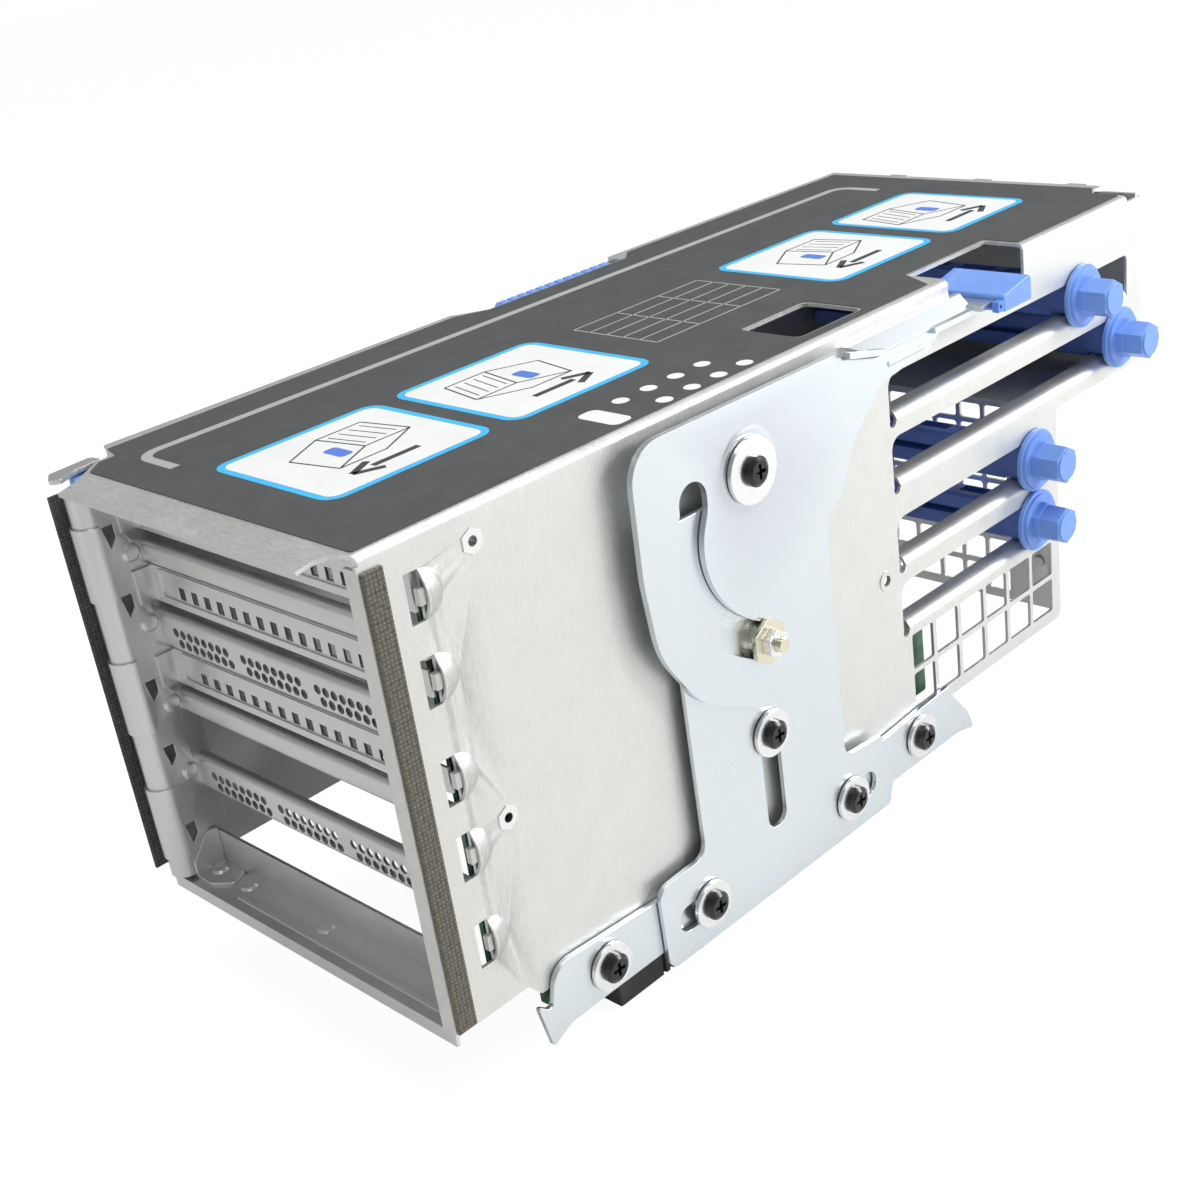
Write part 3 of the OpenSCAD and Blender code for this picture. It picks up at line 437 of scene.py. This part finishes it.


# the Edge Highlight colours below are painted highlights laid on the bevelled rims
finishes = {
    "galvanised": makeFinish("galvanised sheet", "sheet", {
        "Light": shade(0.70, 0.71, 0.685), "Dark": shade(0.46, 0.475, 0.46),
        "Edge Highlight": shade(0.86, 0.86, 0.84), "Grain": (420.0, 2600.0, 420.0),
        "Cloud Scale": 95.0, "Streak Share": 0.72, "Rough": 0.44, "Rough Spread": 0.18},
        {"Metallic": 0.82}, 0.22),
    "zinc_plate": makeFinish("bright zinc plate", "sheet", {
        "Light": shade(0.66, 0.70, 0.745), "Dark": shade(0.59, 0.63, 0.68),
        "Edge Highlight": shade(0.80, 0.86, 0.88), "Grain": (500.0, 500.0, 1200.0),
        "Cloud Scale": 28.0, "Streak Share": 0.25, "Rough": 0.30, "Rough Spread": 0.10},
        {"Metallic": 0.92}, 0.03),
    "bracket_zinc": makeFinish("plated bracket sheet", "sheet", {
        "Light": shade(0.68, 0.69, 0.68), "Dark": shade(0.53, 0.545, 0.55),
        "Edge Highlight": shade(0.82, 0.82, 0.80), "Grain": (260.0, 1400.0, 1400.0),
        "Cloud Scale": 60.0, "Streak Share": 0.45, "Rough": 0.36, "Rough Spread": 0.14},
        {"Metallic": 0.9}, 0.05),
    "bright_steel": makeFinish("turned bright steel", "sheet", {
        "Light": shade(0.84, 0.84, 0.83), "Dark": shade(0.72, 0.72, 0.71),
        "Edge Highlight": shade(0.9, 0.9, 0.9), "Grain": (900.0, 900.0, 900.0),
        "Cloud Scale": 220.0, "Streak Share": 0.4, "Rough": 0.27, "Rough Spread": 0.10},
        {"Metallic": 1.0}, 0.03),
    "yellow_zinc": makeFinish("yellow zinc", "sheet", {
        "Light": shade(0.74, 0.70, 0.52), "Dark": shade(0.55, 0.50, 0.34),
        "Edge Highlight": shade(0.85, 0.82, 0.66), "Grain": (900.0, 900.0, 900.0),
        "Cloud Scale": 260.0, "Streak Share": 0.3, "Rough": 0.26, "Rough Spread": 0.12},
        {"Metallic": 1.0}, 0.03),
    "brass_post": makeFinish("turned brass", "sheet", {
        "Light": shade(0.72, 0.56, 0.28), "Dark": shade(0.55, 0.42, 0.20),
        "Edge Highlight": shade(0.85, 0.72, 0.42), "Grain": (900.0, 900.0, 900.0),
        "Cloud Scale": 260.0, "Streak Share": 0.3, "Rough": 0.3, "Rough Spread": 0.12},
        {"Metallic": 1.0}, 0.03),
    "black_screw": makeFinish("black oxide screw", "mould", {
        "Light": shade(0.020, 0.020, 0.023), "Dark": shade(0.010, 0.010, 0.012),
        "Edge Highlight": shade(0.16, 0.16, 0.17), "Grain Scale": 3200.0, "Rough": 0.30},
        {"Metallic": 0.35, "Coat Weight": 0.2, "Coat Roughness": 0.2}, 0.06),
    "black_label": makeFinish("matt printed film", "mould", {
        "Light": shade(0.078, 0.082, 0.083), "Dark": shade(0.064, 0.068, 0.070),
        "Edge Highlight": shade(0.2, 0.2, 0.2), "Grain Scale": 1500.0, "Rough": 0.55},
        {"Specular IOR Level": 0.45}, 0.05),
    "weave_gasket": makeFinish("brown conductive cloth", "weave", {
        "Light": shade(0.26, 0.23, 0.18), "Dark": shade(0.075, 0.07, 0.058),
        "Thread": 0.0011}, {"Metallic": 0.25}, 0.5, weaveDepth),
    "dark_gasket": makeFinish("dark conductive cloth", "weave", {
        "Light": shade(0.16, 0.155, 0.145), "Dark": shade(0.045, 0.045, 0.042),
        "Thread": 0.0011}, {"Metallic": 0.25}, 0.5, weaveDepth),
    "blue_plastic": makeFinish("blue touch plastic", "mould", {
        "Light": shade(0.15, 0.31, 0.82), "Dark": shade(0.12, 0.26, 0.74),
        "Edge Highlight": shade(0.32, 0.52, 0.95), "Grain Scale": 2600.0, "Rough": 0.33},
        {"Subsurface Weight": 0.12, "Subsurface Scale": 0.002,
         "Subsurface Radius": (0.4, 0.7, 1.0)}, 0.05),
    # the holder bars are the same blue plastic as the knobs, painted darker for the shade they
    # sit in inside the cage
    "navy_plastic": makeFinish("blue bar plastic in painted shade", "mould", {
        "Light": shade(0.075, 0.15, 0.56), "Dark": shade(0.055, 0.115, 0.46),
        "Edge Highlight": shade(0.2, 0.3, 0.7), "Grain Scale": 2600.0, "Rough": 0.38},
        {}, 0.05),
    "board_green": makeFinish("solder mask", "mould", {
        "Light": shade(0.03, 0.13, 0.06), "Dark": shade(0.015, 0.085, 0.04),
        "Edge Highlight": shade(0.3, 0.33, 0.2), "Grain Scale": 900.0, "Rough": 0.35},
        {"Coat Weight": 0.3, "Coat Roughness": 0.25}, 0.05),
    "black_plastic": makeFinish("black connector plastic", "mould", {
        "Light": shade(0.030, 0.030, 0.033), "Dark": shade(0.016, 0.016, 0.018),
        "Edge Highlight": shade(0.10, 0.10, 0.11), "Grain Scale": 1800.0, "Rough": 0.42},
        {}, 0.08),
}
print("finishes made:", len(finishes))

for name, holder in nodes.items():
    holder.data.materials.clear()
    holder.data.materials.append(finishes[slotOf[name]])


# ---- soft-edged pieces over the CAD nodes

edgeSettings = {
    # node: (edge width in mm, segments)
    "cage_shell": (0.15, 1), "left_panel": (0.15, 1), "rear_wall": (0.12, 1),
    "slot_bracket": (0.15, 1), "cross_member": (0.2, 1), "corner_gusset": (0.15, 1),
    "divider_1": (0.12, 1), "divider_2": (0.12, 1), "divider_3": (0.12, 1),
    "divider_4": (0.12, 1), "slot_cover_1": (0.12, 1), "slot_cover_2": (0.12, 1),
    "slot_cover_3": (0.12, 1), "dock_plug": (0.25, 1), "gasket_right": (0.3, 2),
    "gasket_left": (0.3, 2), "clinch_nuts": (0.12, 1),
    "lever": (0.35, 2), "slide_plate": (0.3, 2), "front_hook": (0.3, 2), "rear_hook": (0.3, 2),
    "lever_bush": (0.25, 2), "guide_bush": (0.25, 2), "hook_bushes": (0.25, 2),
    "front_stud": (0.25, 2), "rear_stud": (0.25, 2), "cam_stud": (0.15, 2), "cam_nut": (0.2, 2),
    "lever_grip": (0.35, 2), "side_key": (0.3, 2), "corner_key": (0.4, 2),
    "corner_latch": (0.25, 2),
    "holder_knob_1": (0.4, 2), "holder_knob_2": (0.4, 2), "holder_knob_3": (0.4, 2),
    "holder_knob_4": (0.4, 2), "holder_bar_1": (0.4, 2), "holder_bar_2": (0.4, 2),
    "holder_bar_3": (0.4, 2), "holder_bar_4": (0.4, 2),
}


edgeRules = {
    "weldGap": 2e-6,
    "flatAngle": 0.6,  # flatter joins than this become one face
    "bevelAngle": 42,
    "sharpAngle": {1: 16, 2: 40},  # by the number of bevel segments
    # painted highlight weight where the rim meets the flat faces
    "rimBorderHighlight": 0.55,
}


def softEdged(node, width, segments, rules):
    bm = bmesh.new()
    bm.from_mesh(nodes[node].data)
    bmesh.ops.remove_doubles(bm, verts=bm.verts, dist=rules["weldGap"])
    bmesh.ops.dissolve_limit(bm, angle_limit=math.radians(rules["flatAngle"]),
                             verts=bm.verts, edges=bm.edges, delimit=set())
    bm.normal_update()
    least = math.radians(rules["bevelAngle"])
    sharp = [e for e in bm.edges if e.is_manifold and e.calc_face_angle(0) > least]
    made = bmesh.ops.bevel(bm, geom=sharp, offset=width * mm, offset_type="OFFSET",
                           segments=segments, profile=0.5, affect="EDGES",
                           clamp_overlap=True, material=-1)
    # the bevel faces get a painted-highlight weight: 1 where a vertex lies wholly in the rim,
    # less at the rim's border
    layer = bm.verts.layers.float.new("edgeHighlight")
    rim = set(made["faces"])
    for f in rim:
        for v in f.verts:
            inside = all(g in rim for g in v.link_faces)
            v[layer] = 1.0 if inside else rules["rimBorderHighlight"]
    bmesh.ops.triangulate(bm, faces=[f for f in bm.faces if len(f.verts) > 4])
    mesh = meshFrom(bm, node + "Soft")
    mesh.shade_smooth()
    mesh.set_sharp_from_angle(angle=math.radians(rules["sharpAngle"][segments]))
    mesh.materials.append(finishes[slotOf[node]])
    piece = addObject(node + "Soft", mesh)
    if segments > 1:
        weigh = piece.modifiers.new("even normals", "WEIGHTED_NORMAL")
        weigh.keep_sharp = True
    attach(piece, bodyOf[node])
    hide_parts(node)


for node, (width, segments) in edgeSettings.items():
    softEdged(node, width, segments, edgeRules)
print("soft-edged pieces made:", len(edgeSettings))


# ---- printed fields on the label

labelLow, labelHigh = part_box("top_label")

inkSettings = {
    # ink: (name, colour, roughness)
    "white": ("white ink", (0.82, 0.83, 0.83), 0.5),
    "cyan": ("cyan ink", (0.06, 0.50, 0.88), 0.45),
    "grey": ("light grey ink", (0.42, 0.43, 0.43), 0.5),
    "dark": ("dark ink", (0.06, 0.06, 0.065), 0.5),
    "blue": ("blue ink", (0.10, 0.22, 0.70), 0.5),
}
inkRules = {
    "height": 0.05,  # mm for each layer
    "sink": 0.01,
    "cornerSegments": 6,
    "overlap": 0.05,
    "dim": 0.94,
    "shine": 0.35,
}


def makeInk(name, colour, roughness, rules):
    return makeFinish(name, "mould", {
        "Light": shade(*colour), "Dark": shade(*[c * rules["dim"] for c in colour]),
        "Rough": roughness}, {"Specular IOR Level": rules["shine"]})


inks = {ink: makeInk(*values, inkRules) for ink, values in inkSettings.items()}


def inkPatch(bm, x, y, sizeX, sizeY, turn=0.0):
    made = bmesh.ops.create_grid(bm, x_segments=1, y_segments=1, size=0.5)
    verts = made["verts"]
    bmesh.ops.scale(bm, verts=verts, vec=(sizeX * mm, sizeY * mm, 1))
    bmesh.ops.rotate(bm, verts=verts, cent=(0, 0, 0), matrix=Matrix.Rotation(turn, 3, "Z"))
    bmesh.ops.translate(bm, verts=verts, vec=(
        labelLow[0] + x * mm, labelLow[1] + y * mm, labelHigh[2] - inkRules["sink"] * mm))
    return verts


def raiseInk(bm, faces, layer):
    raised = bmesh.ops.extrude_face_region(bm, geom=faces)["geom"]
    top = [v for v in raised if isinstance(v, bmesh.types.BMVert)]
    bmesh.ops.translate(bm, verts=top, vec=(0, 0, inkRules["height"] * layer * mm))


def field(bm, x0, y0, x1, y1, corner, layer, ring=0.0, cutAt=None):
    verts = inkPatch(bm, (x0 + x1) / 2, (y0 + y1) / 2, x1 - x0, y1 - y0)
    bevelled = bmesh.ops.bevel(bm, geom=verts, offset=corner * mm, offset_type="OFFSET",
                               segments=inkRules["cornerSegments"], profile=0.5,
                               affect="VERTICES", material=-1)
    face = max((f for v in bevelled["verts"] for f in v.link_faces),
               key=lambda f: f.calc_area())
    faces = [face]
    if ring:
        faces = bmesh.ops.inset_region(bm, faces=[face], thickness=ring * mm,
                                       use_boundary=True, use_even_offset=True)["faces"]
        bmesh.ops.delete(bm, geom=[face], context="FACES")
    if cutAt:
        geom = faces + list({e for f in faces for e in f.edges}) \
            + list({v for f in faces for v in f.verts})
        left = bmesh.ops.bisect_plane(bm, geom=geom, dist=1e-7,
                                      plane_co=(labelLow[0] + cutAt * mm, 0, 0),
                                      plane_no=(1, 0, 0), clear_outer=True)["geom"]
        faces = [f for f in left if isinstance(f, bmesh.types.BMFace)]
    raiseInk(bm, faces, layer)


def stroke(bm, a, b, width, layer):
    ax, ay = a
    bx, by = b
    verts = inkPatch(bm, (ax + bx) / 2, (ay + by) / 2, math.hypot(bx - ax, by - ay), width,
                     math.atan2(by - ay, bx - ax))
    raiseInk(bm, [verts[0].link_faces[0]], layer)


def finishInk(bm, name, ink):
    bmesh.ops.recalc_face_normals(bm, faces=bm.faces)
    mesh = meshFrom(bm, name)
    mesh.materials.append(inks[ink])
    piece = addObject(name, mesh)
    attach(piece, "cage")


# all in mm from the label's low corner
labelPrint = {
    "panels": [(42.5, 15.5, 91, 66), (42.5, 71.5, 91.5, 121.5), (44.5, 197, 92.5, 246),
               (44.5, 253, 92.5, 297)],
    "panelCorner": 5.0,
    "frameWidth": 2.0,
    "bracket": (14.1, 11, 55.6, 299),
    "bracketCorner": 7.0,
    "bracketWidth": 2.9,
    "bracketEnd": 32.6,
    "table": (48, 134, 80, 186),
    "tableRows": 3,
    "tableColumns": 5,
    "tableLine": 0.5,
    "dots": [(105, 94), (105, 104), (105, 114), (105, 124), (115, 99), (115, 109), (115, 119),
             (115, 129)],
    "dotHalf": 2.2,
    "dotCorner": 2.1,
    "bar": (103, 80, 117, 86.5),
    "barCorner": 2.2,
}

# mm from a panel's middle
motif = {
    "boxPaths": [
        [(-15, -14), (1, -17), (1, -3), (-15, 0), (-15, -14)],
        [(-15, 0), (-8, 13), (8, 10), (1, -3)],
        [(8, 10), (8, -4), (1, -17)],
    ],
    "boxLine": 0.5,
    "vents": [((-13, -12 + 3.2 * k), (-1, -14.3 + 3.2 * k)) for k in range(4)],
    "ventLine": 0.35,
    "arrow": [((14, -9), (14, 5)), ((14, 11), (10.4, 4)), ((14, 11), (17.6, 4))],
    "arrowLine": 2.0,
    "accent": (-2, 3),
    "accentHalf": (4, 2),
    "accentCorner": 1.2,
}


def drawLines(bm, lines, width, cx, cy, turn):
    for (ax, ay), (bx, by) in lines:
        stroke(bm, (cx + ax, cy + ay * turn), (cx + bx, cy + by * turn), width, 2)


def printPanels(s):
    frames = bmesh.new()
    whites = bmesh.new()
    inner = s["frameWidth"] - inkRules["overlap"]
    for x0, y0, x1, y1 in s["panels"]:
        field(frames, x0, y0, x1, y1, s["panelCorner"], 1, ring=s["frameWidth"])
        field(whites, x0 + inner, y0 + inner, x1 - inner, y1 - inner,
              s["panelCorner"] - s["frameWidth"], 1)
    for x, y in s["dots"]:
        half = s["dotHalf"]
        field(whites, x - half, y - half, x + half, y + half, s["dotCorner"], 1)
    field(whites, *s["bar"], s["barCorner"], 1)
    finishInk(frames, "labelFrames", "cyan")
    finishInk(whites, "labelFields", "white")


def printRules(s):
    # a pale line that brackets the panels, and a plain ruled table
    greys = bmesh.new()
    field(greys, *s["bracket"], s["bracketCorner"], 1, ring=s["bracketWidth"],
          cutAt=s["bracketEnd"])
    left, front, right, back = s["table"]
    for i in range(s["tableRows"] + 1):
        y = front + (back - front) * i / s["tableRows"]
        stroke(greys, (left, y), (right, y), s["tableLine"], 1)
    for i in range(s["tableColumns"] + 1):
        x = left + (right - left) * i / s["tableColumns"]
        stroke(greys, (x, front), (x, back), s["tableLine"], 1)
    finishInk(greys, "labelRules", "grey")


def printMotifs(panels, s):
    # a plain box, its vents and an arrow in each panel, every other one turned over
    darks = bmesh.new()
    blues = bmesh.new()
    for n, (x0, y0, x1, y1) in enumerate(panels):
        cx, cy = (x0 + x1) / 2, (y0 + y1) / 2
        turn = 1 if n % 2 else -1
        for corners in s["boxPaths"]:
            drawLines(darks, zip(corners, corners[1:]), s["boxLine"], cx, cy, turn)
        drawLines(darks, s["vents"], s["ventLine"], cx, cy, turn)
        drawLines(darks, s["arrow"], s["arrowLine"], cx, cy, turn)
        x, y = cx + s["accent"][0], cy + s["accent"][1] * turn
        halfX, halfY = s["accentHalf"]
        field(blues, x - halfX, y - halfY, x + halfX, y + halfY, s["accentCorner"], 2)
    finishInk(darks, "labelMotifs", "dark")
    finishInk(blues, "labelAccents", "blue")


printPanels(labelPrint)
printRules(labelPrint)
printMotifs(labelPrint["panels"], motif)
print("label printed")
